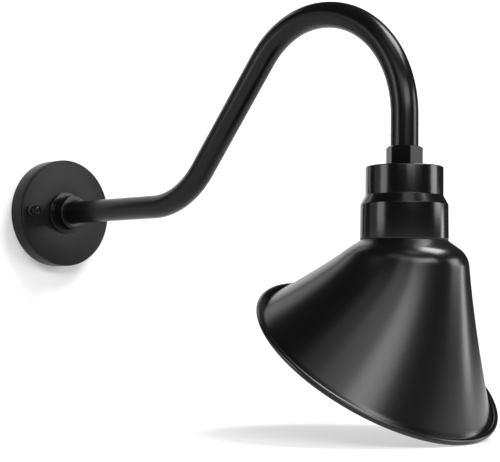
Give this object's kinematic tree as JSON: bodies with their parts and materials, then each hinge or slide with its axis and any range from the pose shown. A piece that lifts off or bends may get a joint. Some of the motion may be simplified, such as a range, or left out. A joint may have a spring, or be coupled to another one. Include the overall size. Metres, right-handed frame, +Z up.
{
  "type": "gooseneck wall sconce",
  "caption": "Black gooseneck wall sconce with a round canopy, a bent tube arm, a hexagon lock nut, a stepped shade cap and an angled steel shade with a rolled rim.",
  "frame": {"origin": "centre of the canopy on the wall face", "axes": "+X straight out of the wall, +Z up, +Y to the right for someone looking at the wall"},
  "size_m": [0.6109, 0.2506, 0.423],
  "materials": {
    "black_paint": "satin",
    "gloss_black_enamel": "gloss",
    "black_paint_shade": "gloss",
    "zinc_steel": "zinc plated, satin",
    "spring_brass": "satin",
    "nickel_shell": "nickel plated",
    "porcelain": "glazed",
    "foam_rubber": "matt",
    "black_plastic": "matt",
    "orange_plastic": "matt",
    "black_insulation": "satin",
    "white_insulation": "satin",
    "green_insulation": "satin",
    "green_screw": "green dyed zinc",
    "tinned_copper": "tinned"
  },
  "bodies": {
    "wall_arm": {"wall_gasket": "foam_rubber", "canopy": "black_paint", "mounting_bar": "zinc_steel", "canopy_studs": "zinc_steel", "stud_seals": "foam_rubber", "ground_screw": "green_screw", "ground_terminal": "tinned_copper", "hub_collar": "black_paint", "hub_set_screw": "zinc_steel", "hub_washer": "zinc_steel", "hub_lock_nut": "zinc_steel", "hub_bushing": "black_plastic", "gooseneck_arm": "black_paint", "arm_end_bushing": "black_plastic", "lead_black": "black_insulation", "lead_white": "white_insulation", "lead_ground": "green_insulation", "splice_caps": "orange_plastic"},
    "head": {"shade_cap": "gloss_black_enamel", "cap_gasket": "foam_rubber", "shade": "black_paint_shade", "shade_screws": "zinc_steel", "socket_strap": "zinc_steel", "strap_screws": "zinc_steel", "socket_body": "porcelain", "socket_rivets": "zinc_steel", "socket_shell": "nickel_shell", "hot_terminal": "spring_brass", "neutral_terminal": "zinc_steel", "socket_leads": "black_insulation"},
    "lock_nut": {"aim_lock_nut": "black_paint"},
    "contact": {"centre_contact": "spring_brass"},
    "nut_left": {"ball_nut_left": "gloss_black_enamel"},
    "nut_right": {"ball_nut_right": "gloss_black_enamel"}
  },
  "joints": [
    {"name": "head_aim", "type": "hinge", "parent": "wall_arm", "child": "head", "pos_m": [0.53718, 0, 0], "axis": [0, 0, 1], "range_deg": [-180, 180]},
    {"name": "lock_nut_turn", "type": "hinge", "parent": "wall_arm", "child": "lock_nut", "pos_m": [0.53718, 0, 0.03], "axis": [0, 0, 1], "continuous": true},
    {"name": "ball_nut_left_turn", "type": "hinge", "parent": "wall_arm", "child": "nut_left", "pos_m": [0.031, -0.0508, 0], "axis": [1, 0, 0], "continuous": true},
    {"name": "ball_nut_right_turn", "type": "hinge", "parent": "wall_arm", "child": "nut_right", "pos_m": [0.031, 0.0508, 0], "axis": [1, 0, 0], "continuous": true},
    {"name": "contact_press", "type": "hinge", "parent": "head", "child": "contact", "pos_m": [0.53718, -0.0075, -0.0181], "axis": [1, 0, 0], "range_deg": [0, 8], "stiffness_Nm_per_rad": 0.15}
  ]
}
